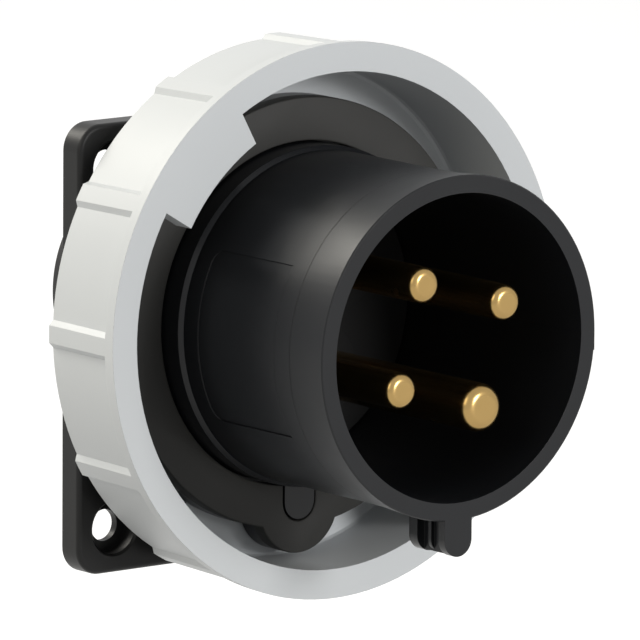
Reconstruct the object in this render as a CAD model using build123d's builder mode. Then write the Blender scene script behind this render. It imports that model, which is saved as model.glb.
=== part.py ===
from build123d import *
import os
from math import asin, cos, degrees, radians, sin, sqrt

# CEE panel inlet, 32 A class, three poles and earth, with a bayonet locking ring. Millimetres.
# The panel face is the plane Y = 0, the collar's axis is the Y axis, the front looks to -Y and +Z is up.
# Every height is a distance in front of the panel face, so what lies behind the panel has a negative one.
# Angles are counted from +X, counterclockwise as seen from the front.

# Gaps between pieces
running_gap = 0.3        # between the turning ring and what it turns on
seat_gap = 0.05          # round a pin, screw or ring that sits in its hole
insert_gap = 0.3         # round an insulating piece that drops into its bore

# Flange and neck
flange_margin = 4.3      # how far the flange's sides stand out from the neck
flange_thickness = 4.5
flange_corner = 4.5
flange_edge = 0.8
flange_drop = 4.4        # how far the flange's middle lies below the collar's axis
hole_inset = 7.5         # from the flange's sides to the middle of a mounting hole
hole_radius = 2.65
hole_floor = 1.4         # plastic left under each screw head
head_seat_radius = 4.4
head_seat_chamfer = 0.4
pad_radius = 7.0         # round pad that stays around each mounting hole on the rear
neck_radius = 33.2
neck_wall = 4.5
shoulder_step = 1.0      # how far the shoulder behind the ring stands out from the neck

# Flat gasket in the flange's rear face
gasket_inset = 2.0
gasket_thickness = 1.2
gasket_corner = 3.0
gasket_land = 0.7        # plastic between the neck's bore and the gasket

# Bayonet ring
ring_width = 18.0
ring_wall = 4.9
ring_draft = 0.5         # how much smaller the ring is at its rear
ring_play = 1.1          # between the seal's lobe and the ring's bore
web_thickness = 1.7
web_play = 0.5           # between the ring's web and the shroud's plate
web_corner = 0.8
lip_width = 2.2
pocket_depth = 0.85
rib_count = 12
rib_width = 2.9
lug_count = 2
lug_reach = 5.85
lug_thickness = 4.0
lug_middle = 134.0
lug_arc = 30.0
notch_middle = 224.0
notch_half_width = 9.1
notch_rim = 4.4          # web left between a notch and the ring's bore
stop_start = 210.0
stop_end = 213.8
stop_gap = 0.4

# Shroud: collar, foot, plate behind the seal, skirt and key
collar_front = 57.4
collar_wall = 2.33       # at the waist
collar_edge = 0.2
flare_length = 15.4
flare_rise = 0.64
foot_rise = 0.67
foot_height = 19.3
plate_overhang = 2.8     # how far the plate stands out from the neck
plate_rear = 9.6
plate_thickness = 3.1
lobe_radius = 8.2
lobe_inset = 3.9         # from the plate's edge in to the middle of its lobe
skirt_end = -6.0
skirt_wall = 2.3
spigot_step = 0.5
ledge_height = 7.5
ledge_width = 0.65       # the step that the pin carrier's flange rests on
field_start = 23.7
field_length = 20.3
field_depth = 0.18
field_arc = 61.0
field_corner = 2.2

# Key at 6 o'clock
key_half_width = 2.8
key_reach = 5.98         # how far it stands out from the collar
key_length = 9.3
key_front_plate = 1.65
key_rear_plate = 2.1
key_web_half_width = 1.3
key_rib_half_width = 2.0
key_rib_thickness = 0.75
key_rib_setback = 4.55
key_root_half_width = 3.07
key_root_reach = 6.15

# Front seal
seal_thickness = 2.7
seal_edge = 1.1
seal_slit = 0.3

# O-ring between skirt and neck
o_ring_section = 0.7
o_ring_height = 6.5
o_ring_stretch = 0.2

# Pins: the rotation of the whole pattern puts the earth pin at 5 o'clock
pin_circle_radius = 12.4
pin_recess = 1.0
phase_radius = 3.0
phase_tip = 1.4
earth_radius = 4.0
earth_tip = 1.9
root_step = 0.5          # how much thicker a pin is where it sits in the carrier
phase_angles = {"pin_l1": 120.0, "pin_l2": 30.0, "pin_l3": 210.0}
earth_angle = 300.0
phase_barrel = 5.2
earth_barrel = 5.8
phase_wire = 2.6
earth_wire = 3.0
wire_depth = 17.0
barrel_end = -24.0

# Wire clamping: screws, plates and the slot that the plate lies in
clamp_width = 2.8
clamp_thickness = 0.7
clamp_gap = 0.05
clamp_inset = 5.0        # from the barrel's end to the first screw
clamp_pitch = 7.5
clamp_screw_radius = 1.95
clamp_screw_length = 3.4
screw_slot_width = 0.8
screw_slot_depth = 0.9

# Pin carrier
carrier_floor = 12.0
boss_height = 0.4
boss_wall = 4.0
carrier_rear = 2.5

# Barrier between the terminals: four plates on a hub
barrier_plate = 2.0
barrier_hub = 4.2
barrier_angles = (75.0, 165.0, 255.0, 345.0)

# Spring ring behind the carrier
retainer_thickness = 1.2
retainer_reach = 1.7
retainer_depth = 0.6
retainer_opening = 24.0

# Terminal cover and its screw
cover_thickness = 3.0
cover_radius = 20.2
entry_wall = 0.9
cover_screw_radius = 1.45
screw_cap = 3.0          # plastic left in front of the cover screw's tip
cover_head_radius = 2.9

# Screws from the flange's rear into the shroud's plate
shroud_screw_inset = 2.5 # from the neck's bore to the screws' axes
shroud_screw_radius = 1.25
shroud_screw_head = 2.0
shroud_screw_head_height = 1.3
shroud_screw_angles = (60.0, 120.0, 240.0, 300.0)
shroud_screw_bite = 2.6

# Sizes that follow from those above: flange and neck
flange_side = 2 * (neck_radius + flange_margin)
hole_spacing = flange_side - 2 * hole_inset
gasket_side = flange_side - 2 * gasket_inset
neck_bore = neck_radius - neck_wall
gasket_bore = neck_bore + gasket_land
shoulder_radius = neck_radius + shoulder_step
shroud_screw_circle = neck_bore + shroud_screw_inset
shroud_screw_hole = shroud_screw_radius + seat_gap
shroud_head_hole = shroud_screw_head + 0.2

# Shroud, which sits in the neck, and what sits in the shroud
skirt_radius = neck_bore - insert_gap
spigot_radius = skirt_radius - spigot_step
skirt_bore = skirt_radius - skirt_wall
collar_bore = skirt_bore - ledge_width
waist_radius = collar_bore + collar_wall
collar_radius = waist_radius + flare_rise
foot_radius = waist_radius + foot_rise
flare_start = collar_front - flare_length
field_end = field_start + field_length
plate_radius = neck_radius + plate_overhang
plate_front = plate_rear + plate_thickness
lobe_drop = plate_radius - lobe_inset
seal_front = plate_front + seal_thickness
key_drop = collar_radius + key_reach
key_root_drop = foot_radius + key_root_reach
carrier_boss_radius = collar_bore - insert_gap
carrier_flange_radius = skirt_bore - insert_gap
retainer_inner_radius = skirt_bore - retainer_reach

# Ring, which turns on the neck behind the plate and round the seal's lobe
ring_rear = plate_rear - web_play - web_thickness
ring_front = ring_rear + ring_width
shoulder_height = ring_rear - running_gap
web_front = ring_rear + web_thickness
web_bore = neck_radius + running_gap
ring_bore = lobe_drop + lobe_radius + ring_play
ring_front_radius = ring_bore + ring_wall
ring_rear_radius = ring_front_radius - ring_draft
lug_inner_radius = ring_bore - lug_reach
notch_radius = ring_bore - notch_rim
stop_radius = notch_radius - stop_gap

# Pins and terminals
pin_root_front = carrier_floor + boss_height
clamp_heights = (barrel_end + clamp_inset, barrel_end + clamp_inset + clamp_pitch)
barrier_radius = cover_radius
screw_tip = carrier_floor - screw_cap
cover_screw_length = screw_tip - barrel_end + cover_thickness
barrels = {"pin_earth": (earth_radius, earth_tip, earth_barrel, earth_wire, earth_angle)}
for name, angle in phase_angles.items():
    barrels[name] = (phase_radius, phase_tip, phase_barrel, phase_wire, angle)
poles = sorted(barrels)

section = Plane(origin=(0, 0, 0), x_dir=(1, 0, 0), z_dir=(0, 0, -1))


def level(height):
    """The plane at a height, looking to the front: its x is +X and its y is +Z."""
    return Plane.XZ.offset(height)


def polar(radius, angle, across=0.0):
    """A point of such a plane, at a radius and an angle, moved sideways by a length."""
    a = radians(angle)
    return (radius * cos(a) - across * sin(a), radius * sin(a) + across * cos(a))


def radial_plane(angle, height, radius):
    """The plane at a radius of the turned direction, looking outwards."""
    x, z = polar(radius, angle)
    return Plane(origin=(x, -height, z), x_dir=(0, -1, 0), z_dir=(cos(radians(angle)), 0, sin(radians(angle))))


def turn(points, mode=Mode.ADD):
    """Turns a closed outline of (radius, height) points round the collar's axis."""
    with BuildSketch(section) as outline:
        with BuildLine():
            Polyline(*points, close=True)
        make_face()
    revolve(outline.sketch, axis=Axis.Y, mode=mode)


def sector(inner, outer, start, end):
    """Adds a piece of an annulus to the sketch in work."""
    with BuildLine() as outline:
        far = CenterArc((0, 0), outer, start, end - start)
        near = CenterArc((0, 0), inner, start, end - start)
        Line(far @ 0, near @ 0)
        Line(far @ 1, near @ 1)
    make_face(outline.edges())


def tongue(half_width, drop, top):
    """Adds a U shape that hangs below the axis, with a round end, to the sketch in work."""
    middle = half_width - drop
    with Locations((0, middle)):
        Circle(half_width)
    with Locations((0, (middle + top) / 2)):
        Rectangle(2 * half_width, top - middle)


def lobed_disc(radius, lobe):
    """Adds the disc with its round lobe at 6 o'clock to the sketch in work."""
    Circle(radius)
    with Locations((0, -lobe_drop)):
        Circle(lobe)


def mounting_circles(radius, mode=Mode.ADD):
    """Adds a circle at each mounting hole to the sketch in work, or takes it away."""
    with Locations((0, -flange_drop)):
        with GridLocations(hole_spacing, hole_spacing, 2, 2):
            Circle(radius, mode=mode)


# Housing: square flange, shoulder, neck and the two stops that end the ring's turn
with BuildPart() as flange_housing:
    with BuildSketch(level(0)):
        with Locations((0, -flange_drop)):
            RectangleRounded(flange_side, flange_side, flange_corner)
    extrude(amount=flange_thickness)
    fillet(flange_housing.faces().sort_by(Axis.Y)[0].edges(), flange_edge)
    turn(
        [
            (neck_bore - neck_wall, 0),
            (shoulder_radius, 0),
            (shoulder_radius, shoulder_height),
            (neck_radius, shoulder_height),
            (neck_radius, plate_rear),
            (neck_bore - neck_wall, plate_rear),
        ]
    )
    with BuildSketch(level(shoulder_height)):
        for side in range(lug_count):
            sector(neck_radius - neck_wall / 2, stop_radius, stop_start + 180 * side, stop_end + 180 * side)
    extrude(amount=web_front - shoulder_height)
    with BuildSketch(level(plate_rear)):
        Circle(neck_bore)
    extrude(amount=-2 * plate_rear, mode=Mode.SUBTRACT)
    with BuildSketch(level(hole_floor)):
        mounting_circles(head_seat_radius)
    extrude(amount=flange_thickness, mode=Mode.SUBTRACT)
    seats = flange_housing.edges().filter_by(GeomType.CIRCLE).filter_by(
        lambda edge: abs(edge.radius - head_seat_radius) < 0.01 and edge.center().Y < -hole_floor - 0.1
    )
    chamfer(seats, head_seat_chamfer)
    with BuildSketch(level(0)):
        mounting_circles(hole_radius)
    extrude(amount=flange_thickness, mode=Mode.SUBTRACT)
    with BuildSketch(level(0)):
        with Locations((0, -flange_drop)):
            RectangleRounded(gasket_side + 2 * seat_gap, gasket_side + 2 * seat_gap, gasket_corner)
        mounting_circles(pad_radius - seat_gap, mode=Mode.SUBTRACT)
    extrude(amount=gasket_thickness, mode=Mode.SUBTRACT)
    with BuildSketch(level(0)):
        for angle in shroud_screw_angles:
            with Locations(polar(shroud_screw_circle, angle)):
                Circle(shroud_head_hole)
    extrude(amount=gasket_thickness + shroud_screw_head_height, mode=Mode.SUBTRACT)
    with BuildSketch(level(0)):
        for angle in shroud_screw_angles:
            with Locations(polar(shroud_screw_circle, angle)):
                Circle(shroud_screw_hole)
    extrude(amount=plate_rear, mode=Mode.SUBTRACT)

# Flat gasket, flush with the rear face, cut out round the mounting pads and the screw heads
with BuildPart() as panel_gasket:
    with BuildSketch(level(0)):
        with Locations((0, -flange_drop)):
            RectangleRounded(gasket_side, gasket_side, gasket_corner)
        mounting_circles(pad_radius, mode=Mode.SUBTRACT)
        Circle(gasket_bore, mode=Mode.SUBTRACT)
        for angle in shroud_screw_angles:
            with Locations(polar(shroud_screw_circle, angle)):
                Circle(shroud_head_hole + insert_gap, mode=Mode.SUBTRACT)
    extrude(amount=gasket_thickness)


# One grip pocket of the ring: its sides slope up to the ribs, its floor follows the ring's taper
def pocket_outline(height, top_radius):
    """Draws the pocket's outline at a height, where the rib tops have the radius given."""
    floor_radius = top_radius - pocket_depth
    half = 180 / rib_count
    reach = 5.0
    first = polar(top_radius + reach, -half, rib_width / 2 - reach)
    last = polar(top_radius + reach, half, reach - rib_width / 2)
    start = polar(floor_radius, -half, rib_width / 2 + pocket_depth)
    end = polar(floor_radius, half, -rib_width / 2 - pocket_depth)
    with BuildSketch(level(height)) as outline:
        with BuildLine():
            Line(first, start)
            ThreePointArc(start, (sqrt(start[0] ** 2 + start[1] ** 2), 0), end)
            Line(end, last)
            Line(last, first)
        make_face()
    return outline.sketch


ring_taper = (ring_front_radius - ring_rear_radius) / ring_width
pocket_front = ring_front - lip_width
with BuildPart() as pocket:
    loft(
        [
            pocket_outline(ring_rear - 1, ring_rear_radius - ring_taper),
            pocket_outline(pocket_front, ring_front_radius - ring_taper * lip_width),
        ],
        ruled=True,
    )

# Bayonet ring: ribbed outside, open front with two inward lugs, thin web at the rear that runs on the neck
with BuildPart() as bayonet_ring:
    turn(
        [
            (web_bore, ring_rear),
            (ring_rear_radius, ring_rear),
            (ring_front_radius, ring_front),
            (ring_bore, ring_front),
            (ring_bore, web_front + web_corner),
            (ring_bore - web_corner * (1 - cos(radians(45))), web_front + web_corner * (1 - sin(radians(45)))),
            (ring_bore - web_corner, web_front),
            (web_bore, web_front),
        ]
    )
    with BuildSketch(level(ring_front - lug_thickness)):
        for side in range(lug_count):
            start = lug_middle - lug_arc / 2 + 180 * side
            sector(lug_inner_radius, ring_bore + 1, start, start + lug_arc)
    extrude(amount=lug_thickness)
    for index in range(rib_count):
        add(pocket.part.rotate(Axis.Y, -360 / rib_count * (index + 0.5)), mode=Mode.SUBTRACT)
    with BuildSketch(level(ring_rear)):
        for side in range(lug_count):
            middle = notch_middle + 180 * side
            reach = sqrt(notch_radius ** 2 - notch_half_width ** 2)
            with BuildLine():
                low = polar(reach, middle, -notch_half_width)
                high = polar(reach, middle, notch_half_width)
                ThreePointArc(low, polar(notch_radius, middle), high)
                Polyline(high, polar(web_bore - 4, middle, notch_half_width),
                         polar(web_bore - 4, middle, -notch_half_width), low)
            make_face()
    extrude(amount=web_thickness, mode=Mode.SUBTRACT)

# Front seal: flat, with a lobe at 6 o'clock and a slit that the key's root passes
with BuildPart() as front_seal:
    with BuildSketch(level(plate_front)):
        lobed_disc(plate_radius, lobe_radius)
    extrude(amount=seal_thickness)
    fillet(front_seal.faces().sort_by(Axis.Y)[0].edges(), seal_edge)
    with BuildSketch(level(plate_front)):
        Circle(foot_radius + seal_slit)
        tongue(key_root_half_width + seal_slit, key_root_drop + seal_slit, -foot_radius + 2)
    extrude(amount=seal_thickness, mode=Mode.SUBTRACT)


# The shallow bare marking field on the collar's left side, which ends square where the flare begins
with BuildPart() as field:
    with BuildSketch(Plane.YZ.offset(-plate_radius)):
        with Locations((-field_start - field_length, 0)):
            RectangleRounded(2 * field_length, 2 * waist_radius * sin(radians(field_arc / 2)), field_corner)
    extrude(amount=plate_radius / 2)
    with BuildSketch(section):
        with BuildLine():
            Polyline(
                (waist_radius - field_depth, field_start),
                (waist_radius - field_depth, field_end),
                (plate_radius, field_end),
                (plate_radius, field_start),
                close=True,
            )
        make_face()
    revolve(axis=Axis.Y, mode=Mode.INTERSECT)

# Shroud: the collar round the pins, its foot and plate, the skirt in the neck and the key
key_rear = collar_front - key_length
groove_radius = skirt_radius - 2 * o_ring_section - seat_gap + o_ring_stretch
with BuildPart() as shroud:
    with BuildSketch(section) as flare:
        with BuildLine():
            bell = TangentArc((waist_radius, flare_start), (collar_radius, collar_front - collar_edge), tangent=(0, 1))
            Polyline(bell @ 1, (collar_radius - collar_edge, collar_front), (collar_bore, collar_front),
                     (collar_bore, flare_start), bell @ 0)
        make_face()
    revolve(flare.sketch, axis=Axis.Y)
    turn(
        [
            (collar_bore, flare_start),
            (waist_radius, flare_start),
            (waist_radius, foot_height + foot_radius - waist_radius),
            (foot_radius, foot_height),
            (foot_radius, plate_rear),
            (skirt_radius, plate_rear),
            (skirt_radius, 0),
            (spigot_radius, 0),
            (spigot_radius, skirt_end),
            (skirt_bore, skirt_end),
            (skirt_bore, ledge_height),
            (collar_bore, ledge_height),
        ]
    )
    with BuildSketch(level(plate_rear)):
        lobed_disc(plate_radius, lobe_radius)
        Circle(foot_radius - 1, mode=Mode.SUBTRACT)
    extrude(amount=plate_thickness)
    with BuildSketch(level(plate_front)):
        tongue(key_root_half_width, key_root_drop, -foot_radius + 1)
    extrude(amount=seal_thickness)
    with BuildSketch(level(key_rear)):
        tongue(key_half_width, key_drop, -collar_bore - 1)
    extrude(amount=key_rear_plate)
    with BuildSketch(level(collar_front - key_front_plate)):
        tongue(key_half_width, key_drop, -collar_bore - 1)
    extrude(amount=key_front_plate)
    with BuildSketch(level(key_rear)):
        with Locations((0, -(key_drop + collar_bore + 1) / 2 + 0.2)):
            Rectangle(2 * key_web_half_width, key_drop - collar_bore - 1.4)
    extrude(amount=key_length)
    with BuildSketch(level(collar_front - key_rib_setback - key_rib_thickness)):
        tongue(key_rib_half_width, key_drop - 0.3, -collar_bore - 1)
    extrude(amount=key_rib_thickness)
    add(field.part, mode=Mode.SUBTRACT)
    turn(
        [
            (groove_radius, o_ring_height - o_ring_section - seat_gap),
            (skirt_radius + 1, o_ring_height - o_ring_section - seat_gap),
            (skirt_radius + 1, o_ring_height + o_ring_section + seat_gap),
            (groove_radius, o_ring_height + o_ring_section + seat_gap),
        ],
        mode=Mode.SUBTRACT,
    )
    turn(
        [
            (skirt_bore - 1, carrier_rear - retainer_thickness - seat_gap),
            (skirt_bore + retainer_depth + seat_gap, carrier_rear - retainer_thickness - seat_gap),
            (skirt_bore + retainer_depth + seat_gap, carrier_rear),
            (skirt_bore - 1, carrier_rear),
        ],
        mode=Mode.SUBTRACT,
    )
    with BuildSketch(level(plate_rear)):
        for angle in shroud_screw_angles:
            with Locations(polar(shroud_screw_circle, angle)):
                Circle(shroud_screw_hole)
    extrude(amount=shroud_screw_bite + seat_gap, mode=Mode.SUBTRACT)

with BuildPart() as shroud_o_ring:
    with BuildSketch(section):
        with Locations((groove_radius + o_ring_section + 0.01, o_ring_height)):
            RegularPolygon(o_ring_section, 8)
    revolve(axis=Axis.Y)

# Screws that hold the shroud, with a slotted pan head
with BuildPart() as shroud_screws:
    for angle in shroud_screw_angles:
        with BuildSketch(level(gasket_thickness)):
            with Locations(polar(shroud_screw_circle, angle)):
                Circle(shroud_screw_head)
        extrude(amount=shroud_screw_head_height)
        with BuildSketch(level(gasket_thickness)):
            with Locations(polar(shroud_screw_circle, angle)):
                Circle(shroud_screw_radius)
        extrude(amount=plate_rear + shroud_screw_bite - gasket_thickness)
        with BuildSketch(level(gasket_thickness)):
            with Locations(Location(polar(shroud_screw_circle, angle), angle)):
                Rectangle(2 * shroud_screw_head, screw_slot_width / 2)
        extrude(amount=shroud_screw_head_height / 2, mode=Mode.SUBTRACT)


def clamp_offset(wire):
    """Distance from a pin's axis to the inner side of its clamping plate."""
    return wire + clamp_gap


# Insulating carrier: floor with a raised disc round each pin, and the flange that the spring ring holds
with BuildPart() as pin_carrier:
    turn(
        [
            (0, carrier_floor),
            (carrier_boss_radius, carrier_floor),
            (carrier_boss_radius, ledge_height),
            (carrier_flange_radius, ledge_height),
            (carrier_flange_radius, carrier_rear),
            (0, carrier_rear),
        ]
    )
    for pole in poles:
        shaft, tip, barrel, wire, angle = barrels[pole]
        with BuildSketch(level(carrier_floor)):
            with Locations(polar(pin_circle_radius, angle)):
                Circle(shaft + boss_wall)
        extrude(amount=boss_height)
        with BuildSketch(level(carrier_rear)):
            with Locations(polar(pin_circle_radius, angle)):
                Circle(shaft + root_step + seat_gap)
        extrude(amount=pin_root_front - carrier_rear, mode=Mode.SUBTRACT)
    with BuildSketch(level(carrier_rear)):
        Circle(cover_screw_radius + seat_gap)
    extrude(amount=screw_tip - carrier_rear + seat_gap, mode=Mode.SUBTRACT)

# Barrier that keeps the terminals apart, between the carrier and the rear cover
with BuildPart() as terminal_barrier:
    with BuildSketch(level(barrel_end)):
        Circle(barrier_hub)
        for angle in barrier_angles:
            with Locations(Location(polar(barrier_radius / 2, angle), angle)):
                Rectangle(barrier_radius, barrier_plate)
        Circle(cover_screw_radius + seat_gap, mode=Mode.SUBTRACT)
    extrude(amount=carrier_rear - barrel_end)

# Spring ring in the skirt's groove, open on one side
with BuildPart() as carrier_retainer:
    with BuildSketch(level(carrier_rear - retainer_thickness)):
        sector(retainer_inner_radius, skirt_bore + retainer_depth, 90 + retainer_opening / 2,
               450 - retainer_opening / 2)
    extrude(amount=retainer_thickness)


def pin_part(shaft, tip, barrel, wire, angle):
    """Turns one contact pin: shaft, barrel with its wire bore, clamp slot and screw holes."""
    place = polar(pin_circle_radius, angle)
    pin_front = collar_front - pin_recess
    offset = clamp_offset(wire)
    with BuildPart() as pin:
        with BuildSketch(level(barrel_end)):
            with Locations(place):
                Circle(barrel)
        extrude(amount=carrier_rear - barrel_end)
        with BuildSketch(level(carrier_rear)):
            with Locations(place):
                Circle(shaft + root_step)
        extrude(amount=pin_root_front - carrier_rear)
        with BuildSketch(level(pin_root_front)):
            with Locations(place):
                Circle(shaft)
        extrude(amount=pin_front - pin_root_front)
        fillet(pin.faces().sort_by(Axis.Y)[0].edges(), tip)
        with BuildSketch(level(barrel_end)):
            with Locations(place):
                Circle(wire)
        extrude(amount=wire_depth, mode=Mode.SUBTRACT)
        with BuildSketch(radial_plane(angle, barrel_end + wire_depth / 2, pin_circle_radius)):
            Rectangle(wire_depth, clamp_width + 2 * clamp_gap)
        extrude(amount=offset + clamp_thickness + clamp_gap, mode=Mode.SUBTRACT)
        for height in clamp_heights:
            with BuildSketch(radial_plane(angle, height, pin_circle_radius + offset)):
                Circle(clamp_screw_radius + seat_gap)
            extrude(amount=barrel, mode=Mode.SUBTRACT)
    return pin.part


def clamp_plate(wire, angle):
    """Makes the plate that lies between a pole's screws and its wire."""
    with BuildPart() as plate:
        with BuildSketch(
            radial_plane(angle, barrel_end + wire_depth / 2, pin_circle_radius + clamp_offset(wire))
        ):
            Rectangle(wire_depth - 2 * clamp_gap, clamp_width)
        extrude(amount=clamp_thickness)
    return plate.part


# All terminal screws: a plain body with a slot in its outer end
with BuildPart() as terminal_screws:
    for pole in poles:
        shaft, tip, barrel, wire, angle = barrels[pole]
        tip_radius = pin_circle_radius + clamp_offset(wire) + clamp_thickness + clamp_gap
        for height in clamp_heights:
            with BuildSketch(radial_plane(angle, height, tip_radius)):
                Circle(clamp_screw_radius)
            extrude(amount=clamp_screw_length)
            with BuildSketch(radial_plane(angle, height, tip_radius + clamp_screw_length)):
                Rectangle(2 * clamp_screw_radius + 1, screw_slot_width)
            extrude(amount=-screw_slot_depth, mode=Mode.SUBTRACT)

# Rear cover with a flared entry for each wire
with BuildPart() as terminal_cover:
    with BuildSketch(level(barrel_end)):
        Circle(cover_radius)
    extrude(amount=-cover_thickness)
    for pole in poles:
        shaft, tip, barrel, wire, angle = barrels[pole]
        with BuildSketch(level(barrel_end)):
            with Locations(polar(pin_circle_radius, angle)):
                Circle(wire + entry_wall)
        extrude(amount=-cover_thickness, mode=Mode.SUBTRACT)
    rear_rims = terminal_cover.faces().sort_by(Axis.Y)[-1].edges()
    chamfer(rear_rims, entry_wall)
    with Locations(Location((0, -barrel_end + cover_thickness, 0), (-90, 0, 0))):
        CounterSinkHole(cover_screw_radius + seat_gap, cover_head_radius + seat_gap, depth=cover_thickness)

with BuildPart() as cover_screw:
    head = cover_head_radius - cover_screw_radius
    rear = barrel_end - cover_thickness
    turn(
        [
            (0, rear),
            (cover_head_radius, rear),
            (cover_screw_radius, rear + head),
            (cover_screw_radius, rear + cover_screw_length),
            (0, rear + cover_screw_length),
        ]
    )
    with BuildSketch(level(rear)):
        Rectangle(2 * cover_head_radius, screw_slot_width)
    extrude(amount=screw_slot_depth / 2, mode=Mode.SUBTRACT)

pieces = {
    "flange_housing": flange_housing.part,
    "panel_gasket": panel_gasket.part,
    "bayonet_ring": bayonet_ring.part,
    "front_seal": front_seal.part,
    "shroud": shroud.part,
    "shroud_o_ring": shroud_o_ring.part,
    "shroud_screws": shroud_screws.part,
    "pin_carrier": pin_carrier.part,
    "terminal_barrier": terminal_barrier.part,
    "carrier_retainer": carrier_retainer.part,
    "terminal_screws": terminal_screws.part,
    "terminal_cover": terminal_cover.part,
    "cover_screw": cover_screw.part,
}
for pole in poles:
    shaft, tip, barrel, wire, angle = barrels[pole]
    pieces[pole] = pin_part(shaft, tip, barrel, wire, angle)
    pieces[pole.replace("pin", "clamp_plate")] = clamp_plate(wire, angle)

os.makedirs("parts", exist_ok=True)
for name, piece in pieces.items():
    piece.label = name
    export_step(piece, f"parts/{name}.step")
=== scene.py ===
import math

import bmesh
import bpy
from mathutils import Matrix, Vector


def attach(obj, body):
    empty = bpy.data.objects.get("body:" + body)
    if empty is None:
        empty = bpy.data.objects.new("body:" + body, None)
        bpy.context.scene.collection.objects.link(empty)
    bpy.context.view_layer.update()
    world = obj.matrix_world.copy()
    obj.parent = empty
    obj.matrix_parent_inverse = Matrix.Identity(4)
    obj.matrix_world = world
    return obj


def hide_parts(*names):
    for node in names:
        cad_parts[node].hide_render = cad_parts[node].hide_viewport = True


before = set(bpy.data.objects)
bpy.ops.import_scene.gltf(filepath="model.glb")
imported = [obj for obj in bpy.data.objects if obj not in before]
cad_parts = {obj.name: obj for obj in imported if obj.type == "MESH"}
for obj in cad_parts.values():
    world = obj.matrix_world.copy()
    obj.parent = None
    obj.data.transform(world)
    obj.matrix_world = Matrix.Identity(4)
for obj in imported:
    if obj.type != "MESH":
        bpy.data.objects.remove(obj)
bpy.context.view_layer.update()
print("frame loaded:", len(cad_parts), "nodes")

mm = 0.001
scene = bpy.context.scene
scene.view_settings.view_transform = "Standard"


# camera: the photograph's view, solved from the edges of flange, ring and collar
cameraSettings = {
    "azimuth": -38.049, "elevation": 9.718, "roll": 0.386,  # degrees
    "distance": 1780.6, "shiftRight": -12.655, "shiftUp": 3.254,  # mm
    "lens": 602.6, "sensor": 36.0,  # mm
    "clipStart": 0.1, "clipEnd": 20,  # m
}


def makeCamera(c):
    az = math.radians(c["azimuth"])
    el = math.radians(c["elevation"])
    roll = math.radians(c["roll"])
    back = Vector((math.sin(az) * math.cos(el), -math.cos(az) * math.cos(el), math.sin(el)))
    flatRight = Vector((math.cos(az), math.sin(az), 0))
    flatUp = back.cross(flatRight)
    right = math.cos(roll) * flatRight + math.sin(roll) * flatUp
    up = -math.sin(roll) * flatRight + math.cos(roll) * flatUp
    data = bpy.data.cameras.new("camera")
    data.lens = c["lens"]
    data.sensor_width = c["sensor"]
    data.clip_start = c["clipStart"]
    data.clip_end = c["clipEnd"]
    camera = bpy.data.objects.new("camera", data)
    scene.collection.objects.link(camera)
    place = (-c["shiftRight"] * right - c["shiftUp"] * up + c["distance"] * back) * mm
    turn = Matrix((right, up, back)).transposed().to_4x4()
    camera.matrix_world = Matrix.Translation(place) @ turn
    scene.camera = camera


makeCamera(cameraSettings)


# light: a white room, a warm soft box above and behind, one at the left and a neutral one in front
# boxes: place and size in metres, power in watts
lightSettings = {
    "room": {"strength": 0.35, "tint": (0.98, 0.99, 1.0)},
    "boxes": {
        "keyBehind": {
            "place": (-0.56, 1.0, 1.05), "size": (0.84, 0.8),
            "power": 24.0, "tint": (1, 0.965, 0.88),
        },
        "leftSide": {
            "place": (-1.42, -0.3, 0.82), "size": (0.9, 0.9),
            "power": 5.8, "tint": (1, 0.95, 0.83),
        },
        "frontFill": {
            "place": (0.52, -2.34, 0.54), "size": (0.7, 0.7),
            "power": 33.8, "tint": (1, 0.995, 0.99),
        },
    },
}


def addMath(nodes, operation):
    node = nodes.new("ShaderNodeMath")
    node.operation = operation
    return node


def seenDirectly(nodes, links):
    # 1 for what the camera sees, straight, mirrored or through glass
    path = nodes.new("ShaderNodeLightPath")
    mirrored = addMath(nodes, "MAXIMUM")
    links.new(path.outputs["Is Camera Ray"], mirrored.inputs[0])
    links.new(path.outputs["Is Glossy Ray"], mirrored.inputs[1])
    through = addMath(nodes, "MAXIMUM")
    links.new(mirrored.outputs[0], through.inputs[0])
    links.new(path.outputs["Is Transmission Ray"], through.inputs[1])
    return through.outputs[0]


def makeWorld(c):
    world = bpy.data.worlds.new("room")
    scene.world = world
    world.use_nodes = True
    nodes, links = world.node_tree.nodes, world.node_tree.links
    nodes.clear()
    output = nodes.new("ShaderNodeOutputWorld")
    room = nodes.new("ShaderNodeBackground")
    room.inputs["Color"].default_value = c["tint"] + (1,)
    room.inputs["Strength"].default_value = c["strength"]
    # what is seen directly is plain white
    seen = nodes.new("ShaderNodeBackground")
    seen.inputs["Color"].default_value = (1, 1, 1, 1)
    seen.inputs["Strength"].default_value = 1
    mix = nodes.new("ShaderNodeMixShader")
    links.new(seenDirectly(nodes, links), mix.inputs["Fac"])
    links.new(room.outputs[0], mix.inputs[1])
    links.new(seen.outputs[0], mix.inputs[2])
    links.new(mix.outputs[0], output.inputs["Surface"])


def makeLights(boxes):
    for name, box in boxes.items():
        data = bpy.data.lights.new(name, "AREA")
        data.shape = "RECTANGLE"
        data.size, data.size_y = box["size"]
        data.energy = box["power"]
        data.color = box["tint"]
        lamp = bpy.data.objects.new(name, data)
        scene.collection.objects.link(lamp)
        lamp.location = box["place"]
        lamp.rotation_mode = "QUATERNION"
        lamp.rotation_quaternion = (-Vector(box["place"])).to_track_quat("-Z", "Y")


makeWorld(lightSettings["room"])
makeLights(lightSettings["boxes"])


def newMaterial(name):
    material = bpy.data.materials.new(name)
    material.use_nodes = True
    tree = material.node_tree
    return material, tree.nodes, tree.links, tree.nodes["Principled BSDF"]


# floor: plain and pale, well below the inlet, which is held by its flange (height and side in m)
floorSettings = {
    "height": -0.16, "side": 6.0,
    "colour": (0.42, 0.42, 0.42), "roughness": 0.9, "specular": 0.1, "glow": 0.7,
}


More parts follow.
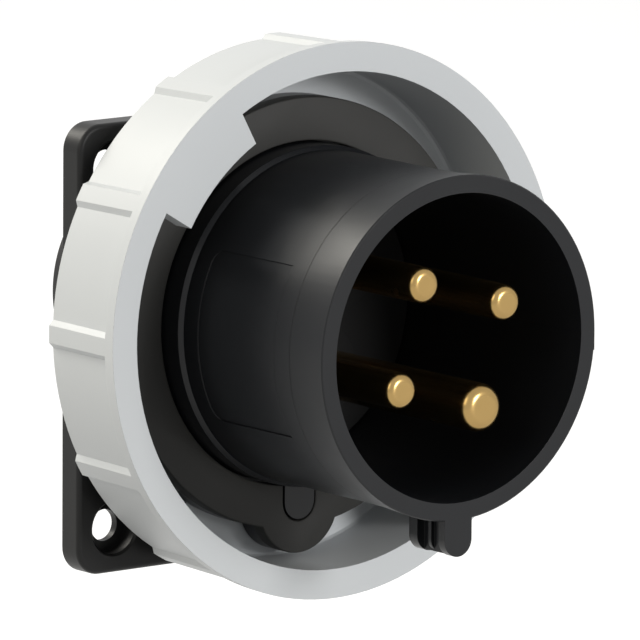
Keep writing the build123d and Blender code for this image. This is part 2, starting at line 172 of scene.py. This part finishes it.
def makeFloor(c):
    form = bmesh.new()
    bmesh.ops.create_grid(form, x_segments=1, y_segments=1, size=c["side"] / 2)
    bmesh.ops.translate(form, verts=form.verts, vec=(0, 0, c["height"]))
    mesh = bpy.data.meshes.new("floor")
    form.to_mesh(mesh)
    form.free()
    floor = bpy.data.objects.new("floor", mesh)
    scene.collection.objects.link(floor)
    material, nodes, links, shader = newMaterial("paleFloor")
    shader.inputs["Base Color"].default_value = c["colour"] + (1,)
    shader.inputs["Roughness"].default_value = c["roughness"]
    shader.inputs["Specular IOR Level"].default_value = c["specular"]
    # the glow makes it white to the camera, and leaves the inlet's shadow on it
    glow = nodes.new("ShaderNodeEmission")
    glow.inputs["Color"].default_value = (1, 1, 1, 1)
    amount = addMath(nodes, "MULTIPLY")
    amount.inputs[1].default_value = c["glow"]
    links.new(seenDirectly(nodes, links), amount.inputs[0])
    links.new(amount.outputs[0], glow.inputs["Strength"])
    both = nodes.new("ShaderNodeAddShader")
    links.new(shader.outputs[0], both.inputs[0])
    links.new(glow.outputs[0], both.inputs[1])
    links.new(both.outputs[0], nodes["Material Output"].inputs["Surface"])
    mesh.materials.append(material)


makeFloor(floorSettings)
print("camera, room, lamps and floor made")


# front seal: flat rubber with crisp edges, a lobe at 6 o'clock and the slit for the key's root
# mm and degrees: rear and front lie before the panel face, drops below the axis, bore is a radius
frontSealSettings = {
    "rear": 12.7, "front": 15.4,
    "radius": 36.0, "lobeRadius": 8.2, "lobeDrop": 32.1,
    "bore": 28.75, "slitHalfWidth": 3.37, "slitDrop": 34.9,
    "roundSteps": 72, "lobeSteps": 24, "slitSteps": 12,
    "edge": 0.28, "edgeSteps": 3, "sharpAngle": 40,
}


def arcPoints(centreZ, radius, fromDegrees, toDegrees, steps):
    stride = toDegrees - fromDegrees
    angles = [math.radians(fromDegrees + stride * i / steps) for i in range(steps + 1)]
    return [(radius * math.cos(a), centreZ + radius * math.sin(a)) for a in angles]


def sealOutlines(c):
    # the right halves of the outer and the inner outline, from 12 to 6 o'clock
    radius, lobe, drop, slit = c["radius"], c["lobeRadius"], c["lobeDrop"], c["slitHalfWidth"]
    # where the lobe leaves the disc, and where the slit leaves the bore
    meetZ = -(radius ** 2 + drop ** 2 - lobe ** 2) / (2 * drop)
    discEnd = math.degrees(math.asin(meetZ / radius))
    lobeStart = math.degrees(math.asin((meetZ + drop) / lobe))
    boreEnd = -math.degrees(math.acos(slit / c["bore"]))
    outer = arcPoints(0, radius, 90, discEnd, c["roundSteps"])
    outer += arcPoints(-drop, lobe, lobeStart, -90, c["lobeSteps"])[1:]
    inner = arcPoints(0, c["bore"], 90, boreEnd, c["roundSteps"])
    inner += arcPoints(slit - c["slitDrop"], slit, 0, -90, c["slitSteps"])
    return outer, inner


def makeFrontSeal(c):
    form = bmesh.new()
    frontY, rearY = -c["front"] * mm, -c["rear"] * mm

    def halves(points):
        # the right half and its mirror image, with the top and bottom points in common
        right = [form.verts.new((x * mm, frontY, z * mm)) for x, z in points]
        left = [form.verts.new((-x * mm, frontY, z * mm)) for x, z in points[1:-1]]
        return right, [right[0]] + left + [right[-1]]

    outer, inner = sealOutlines(c)
    outerRight, outerLeft = halves(outer)
    innerRight, innerLeft = halves(inner)
    faces = [
        form.faces.new(outerRight + innerRight[::-1]),
        form.faces.new(innerLeft + outerLeft[::-1]),
    ]
    grown = bmesh.ops.extrude_face_region(form, geom=faces, use_keep_orig=True)
    moved = [v for v in grown["geom"] if isinstance(v, bmesh.types.BMVert)]
    bmesh.ops.translate(form, verts=moved, vec=(0, rearY - frontY, 0))
    bmesh.ops.recalc_face_normals(form, faces=form.faces)
    # the edges between the front face and the walls are rounded
    closeBy, wallTilt = 1e-7, 0.5
    rim = [
        e for e in form.edges
        if all(abs(v.co.y - frontY) < closeBy for v in e.verts)
        and any(abs(f.normal.y) < wallTilt for f in e.link_faces)
    ]
    bmesh.ops.bevel(
        form, geom=rim, offset=c["edge"] * mm, offset_type="OFFSET", segments=c["edgeSteps"],
        profile=0.5, affect="EDGES", material=-1, clamp_overlap=True,
    )
    for face in form.faces:
        face.smooth = True
    mesh = bpy.data.meshes.new("frontSeal")
    form.to_mesh(mesh)
    form.free()
    mesh.set_sharp_from_angle(angle=math.radians(c["sharpAngle"]))
    piece = bpy.data.objects.new("frontSeal", mesh)
    scene.collection.objects.link(piece)
    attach(piece, "inlet")
    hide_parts("front_seal")
    return piece


frontSeal = makeFrontSeal(frontSealSettings)
print("front seal made")


# materials, one for each finish of the inlet
def shaded(colour, factor):
    return tuple(min(1, part * factor) for part in colour) + (1,)


def addNoise(nodes, links, vector, scale, detail):
    noise = nodes.new("ShaderNodeTexNoise")
    noise.inputs["Scale"].default_value = scale
    noise.inputs["Detail"].default_value = detail
    links.new(vector, noise.inputs["Vector"])
    return noise


def addTint(nodes, links, amount, shader, darker, lighter):
    tint = nodes.new("ShaderNodeMix")
    tint.data_type = "RGBA"
    tint.inputs["A"].default_value = darker
    tint.inputs["B"].default_value = lighter
    links.new(amount, tint.inputs["Factor"])
    links.new(tint.outputs["Result"], shader.inputs["Base Color"])
    return tint


def addSpread(nodes, links, amount, shader, smoothest, roughest):
    spread = nodes.new("ShaderNodeMapRange")
    spread.inputs["To Min"].default_value = smoothest
    spread.inputs["To Max"].default_value = roughest
    links.new(amount, spread.inputs["Value"])
    links.new(spread.outputs["Result"], shader.inputs["Roughness"])


def partingLine(nodes, links, place, line):
    # 1 on a hairline round the collar at one height, 0 elsewhere and inside the given radius
    parts = nodes.new("ShaderNodeSeparateXYZ")
    links.new(place, parts.inputs[0])
    off = addMath(nodes, "ADD")
    off.inputs[1].default_value = line["height"] * mm
    links.new(parts.outputs["Y"], off.inputs[0])
    away = addMath(nodes, "ABSOLUTE")
    links.new(off.outputs[0], away.inputs[0])
    fade = nodes.new("ShaderNodeMapRange")
    fade.interpolation_type = "SMOOTHSTEP"
    fade.inputs["From Max"].default_value = line["halfWidth"] * mm
    fade.inputs["To Min"].default_value = 1
    fade.inputs["To Max"].default_value = 0
    links.new(away.outputs[0], fade.inputs["Value"])
    flat = nodes.new("ShaderNodeVectorMath")
    flat.operation = "MULTIPLY"
    flat.inputs[1].default_value = (1, 0, 1)
    links.new(place, flat.inputs[0])
    radius = nodes.new("ShaderNodeVectorMath")
    radius.operation = "LENGTH"
    links.new(flat.outputs[0], radius.inputs[0])
    outside = addMath(nodes, "GREATER_THAN")
    outside.inputs[1].default_value = line["innerRadius"] * mm
    links.new(radius.outputs["Value"], outside.inputs[0])
    mask = addMath(nodes, "MULTIPLY")
    links.new(fade.outputs["Result"], mask.inputs[0])
    links.new(outside.outputs[0], mask.inputs[1])
    return mask.outputs[0]


# what all moulded finishes share: cloud is the colour's unevenness, wipe the roughness's
mouldSettings = {
    "cloudScale": 45, "cloudDetail": 3,
    "wipeScale": 130, "wipeDetail": 4, "wipeSpread": 0.05,
    "edge": 0.12, "edgeSamples": 4,  # mm
    "grainDetail": 2, "grainStrength": 0.35,
}

# grainDepth and the line's sizes in mm; the line is the collar's fine parting line: a shallow
# groove, with painted shade that darkens its colour
plastics = {
    "flangeBlack": {
        "colour": (0.0118, 0.0118, 0.0118), "mottle": 0.06,
        "roughness": 0.4, "specular": 0.19, "grain": 2600, "grainDepth": 0.03,
    },
    "shroudBlack": {
        "colour": (0.0078, 0.0084, 0.0099), "mottle": 0.06,
        "roughness": 0.32, "specular": 0.28, "grain": 3000, "grainDepth": 0.012,
        "line": {
            "height": 48.2, "halfWidth": 0.09, "innerRadius": 26.8, "depth": 0.05, "paintedShade": 0.15,
        },
    },
    "carrierBlack": {
        "colour": (0.0075, 0.0075, 0.0075), "mottle": 0.06,
        "roughness": 0.48, "specular": 0.18, "grain": 2600, "grainDepth": 0.03,
    },
    "coverBlack": {
        "colour": (0.016, 0.016, 0.017), "mottle": 0.06,
        "roughness": 0.5, "specular": 0.3, "grain": 2400, "grainDepth": 0.03,
    },
    "ringGrey": {
        "colour": (0.605, 0.626, 0.64), "mottle": 0.015,
        "roughness": 0.42, "specular": 0.25, "grain": 2800, "grainDepth": 0.01,
    },
    "sealRubber": {
        "colour": (0.0345, 0.034, 0.032), "mottle": 0.1,
        "roughness": 0.6, "specular": 0.3, "grain": 2000, "grainDepth": 0.04,
    },
    "gasketRubber": {
        "colour": (0.02, 0.02, 0.02), "mottle": 0.1,
        "roughness": 0.7, "specular": 0.3, "grain": 1800, "grainDepth": 0.05,
    },
}


def mouldedPlastic(name, c, mould):
    material, nodes, links, shader = newMaterial(name)
    shader.inputs["Specular IOR Level"].default_value = c["specular"]
    place = nodes.new("ShaderNodeTexCoord").outputs["Object"]
    # slight unevenness of the moulded colour
    cloud = addNoise(nodes, links, place, mould["cloudScale"], mould["cloudDetail"])
    darker, lighter = shaded(c["colour"], 1 - c["mottle"]), shaded(c["colour"], 1 + c["mottle"])
    tint = addTint(nodes, links, cloud.outputs["Fac"], shader, darker, lighter)
    # roughness that varies a little, as on handled plastic
    wipe = addNoise(nodes, links, place, mould["wipeScale"], mould["wipeDetail"])
    smoothest, roughest = c["roughness"] - mould["wipeSpread"], c["roughness"] + mould["wipeSpread"]
    addSpread(nodes, links, wipe.outputs["Fac"], shader, smoothest, roughest)
    # the mould's edges are slightly round
    rounded = nodes.new("ShaderNodeBevel")
    rounded.samples = mould["edgeSamples"]
    rounded.inputs["Radius"].default_value = mould["edge"] * mm
    # fine grain of the mould
    grain = addNoise(nodes, links, place, c["grain"], mould["grainDetail"])
    bump = nodes.new("ShaderNodeBump")
    bump.inputs["Strength"].default_value = mould["grainStrength"]
    bump.inputs["Distance"].default_value = c["grainDepth"] * mm
    links.new(grain.outputs["Fac"], bump.inputs["Height"])
    links.new(rounded.outputs["Normal"], bump.inputs["Normal"])
    links.new(bump.outputs["Normal"], shader.inputs["Normal"])
    if "line" in c:
        line = c["line"]
        mask = partingLine(nodes, links, place, line)
        # painted shade: the parting line's colour is darkened as if shade lay in its groove; the
        # groove itself is the bump below
        paintedShadeMix = nodes.new("ShaderNodeMix")
        paintedShadeMix.data_type = "RGBA"
        paintedShadeMix.inputs["B"].default_value = shaded(c["colour"], line["paintedShade"])
        links.new(mask, paintedShadeMix.inputs["Factor"])
        links.new(tint.outputs["Result"], paintedShadeMix.inputs["A"])
        links.new(paintedShadeMix.outputs["Result"], shader.inputs["Base Color"])
        groove = nodes.new("ShaderNodeBump")
        groove.invert = True
        groove.inputs["Strength"].default_value = 1
        groove.inputs["Distance"].default_value = line["depth"] * mm
        links.new(mask, groove.inputs["Height"])
        links.new(bump.outputs["Normal"], groove.inputs["Normal"])
        links.new(groove.outputs["Normal"], shader.inputs["Normal"])
    return material


# what all metals share: turning marks run round the pins, so they hardly vary across Y
turningSettings = {
    "cloudScale": 160, "cloudDetail": 3, "darker": 0.93, "lighter": 1.05,
    "smoother": 0.04, "rougher": 0.06,
    "markStretch": (0.02, 1, 0.02), "markDetail": 3, "markStrength": 0.3,
}

# markDepth in mm
metals = {
    "contactBrass": {
        "colour": (0.395, 0.264, 0.101), "roughness": 0.24, "markScale": 9000, "markDepth": 0.02,
    },
    "screwSteel": {
        "colour": (0.5, 0.5, 0.5), "roughness": 0.3, "markScale": 7000, "markDepth": 0.01,
    },
    "plateSteel": {
        "colour": (0.42, 0.42, 0.42), "roughness": 0.38, "markScale": 4000, "markDepth": 0.01,
    },
}


def turnedMetal(name, c, turning):
    material, nodes, links, shader = newMaterial(name)
    shader.inputs["Metallic"].default_value = 1
    place = nodes.new("ShaderNodeTexCoord").outputs["Object"]
    cloud = addNoise(nodes, links, place, turning["cloudScale"], turning["cloudDetail"])
    darker, lighter = (shaded(c["colour"], turning[part]) for part in ("darker", "lighter"))
    addTint(nodes, links, cloud.outputs["Fac"], shader, darker, lighter)
    smoothest, roughest = c["roughness"] - turning["smoother"], c["roughness"] + turning["rougher"]
    addSpread(nodes, links, cloud.outputs["Fac"], shader, smoothest, roughest)
    stretch = nodes.new("ShaderNodeMapping")
    stretch.inputs["Scale"].default_value = turning["markStretch"]
    links.new(place, stretch.inputs["Vector"])
    stretched = stretch.outputs["Vector"]
    marks = addNoise(nodes, links, stretched, c["markScale"], turning["markDetail"])
    bump = nodes.new("ShaderNodeBump")
    bump.inputs["Strength"].default_value = turning["markStrength"]
    bump.inputs["Distance"].default_value = c["markDepth"] * mm
    links.new(marks.outputs["Fac"], bump.inputs["Height"])
    links.new(bump.outputs["Normal"], shader.inputs["Normal"])
    return material


finishes = {name: mouldedPlastic(name, c, mouldSettings) for name, c in plastics.items()}
finishes.update({name: turnedMetal(name, c, turningSettings) for name, c in metals.items()})

nodeFinishes = {
    "flange_housing": "flangeBlack",
    "panel_gasket": "gasketRubber",
    "bayonet_ring": "ringGrey",
    "front_seal": "sealRubber",
    "shroud": "shroudBlack",
    "shroud_o_ring": "sealRubber",
    "shroud_screws": "screwSteel",
    "pin_carrier": "carrierBlack",
    "carrier_retainer": "plateSteel",
    "pin_l1": "contactBrass",
    "pin_l2": "contactBrass",
    "pin_l3": "contactBrass",
    "pin_earth": "contactBrass",
    "clamp_plate_l1": "plateSteel",
    "clamp_plate_l2": "plateSteel",
    "clamp_plate_l3": "plateSteel",
    "clamp_plate_earth": "plateSteel",
    "terminal_screws": "screwSteel",
    "terminal_barrier": "coverBlack",
    "terminal_cover": "coverBlack",
    "cover_screw": "screwSteel",
}

for node, finish in nodeFinishes.items():
    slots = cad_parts[node].data.materials
    slots.clear()
    slots.append(finishes[finish])
frontSeal.data.materials.append(finishes["sealRubber"])
print("materials made:", len(finishes))
